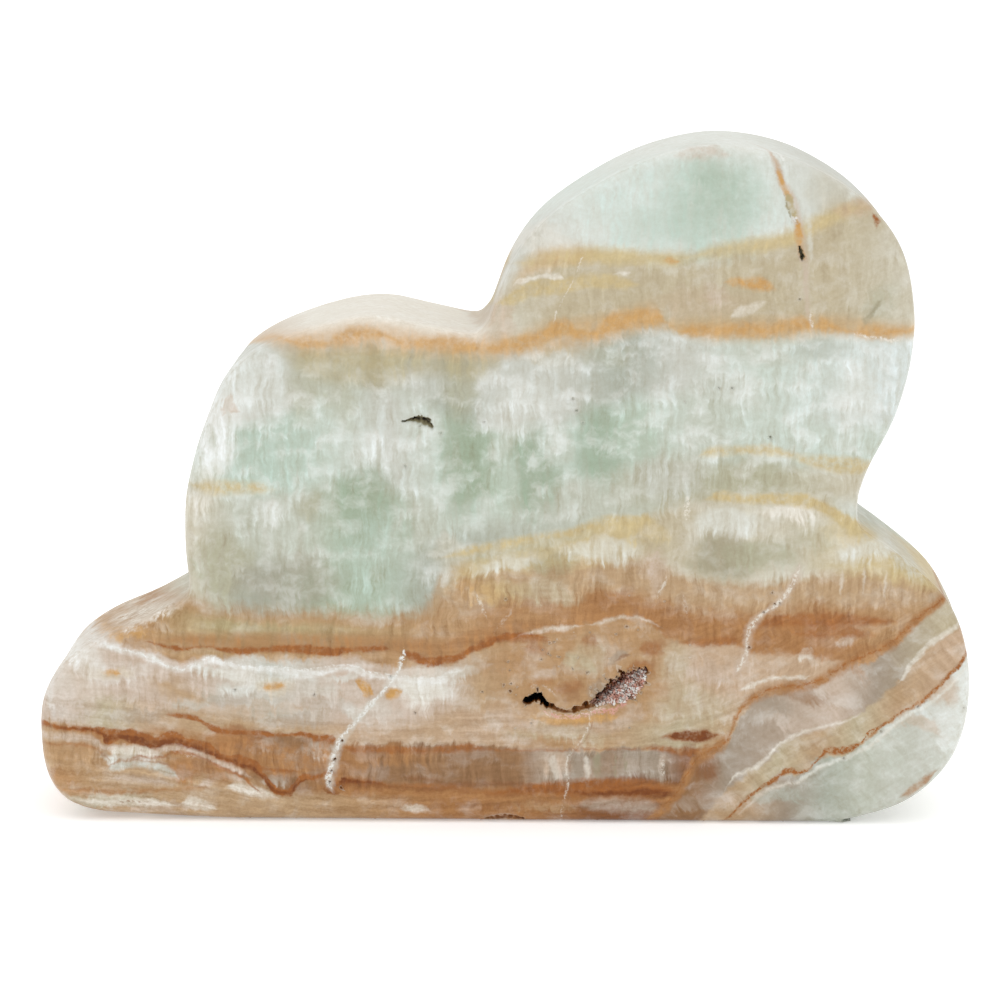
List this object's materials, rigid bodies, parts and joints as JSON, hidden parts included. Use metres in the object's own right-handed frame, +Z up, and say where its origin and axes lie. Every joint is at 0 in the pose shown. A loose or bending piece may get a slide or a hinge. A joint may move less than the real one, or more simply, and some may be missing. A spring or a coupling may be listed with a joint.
{
  "type": "cloud-shaped banded calcite carving",
  "caption": "Free-standing polished slab of banded blue-green and honey calcite, carved as a cloud, with a small crystal-lined hollow in its face.",
  "frame": {"origin": "on the flat base, at the middle of the stone's width and thickness", "axes": "+X to the right along the wide face, +Y from the front face to the back, +Z up"},
  "size_m": [0.1166, 0.028, 0.0851],
  "materials": {
    "banded_calcite": "polished, banded in pale green, milky grey, tan and rust",
    "druzy_crystals": "fine pinkish crystals, glittering"
  },
  "bodies": {
    "root": {"calcite_cloud": "banded_calcite", "druzy_crust": "druzy_crystals"}
  },
  "joints": []
}
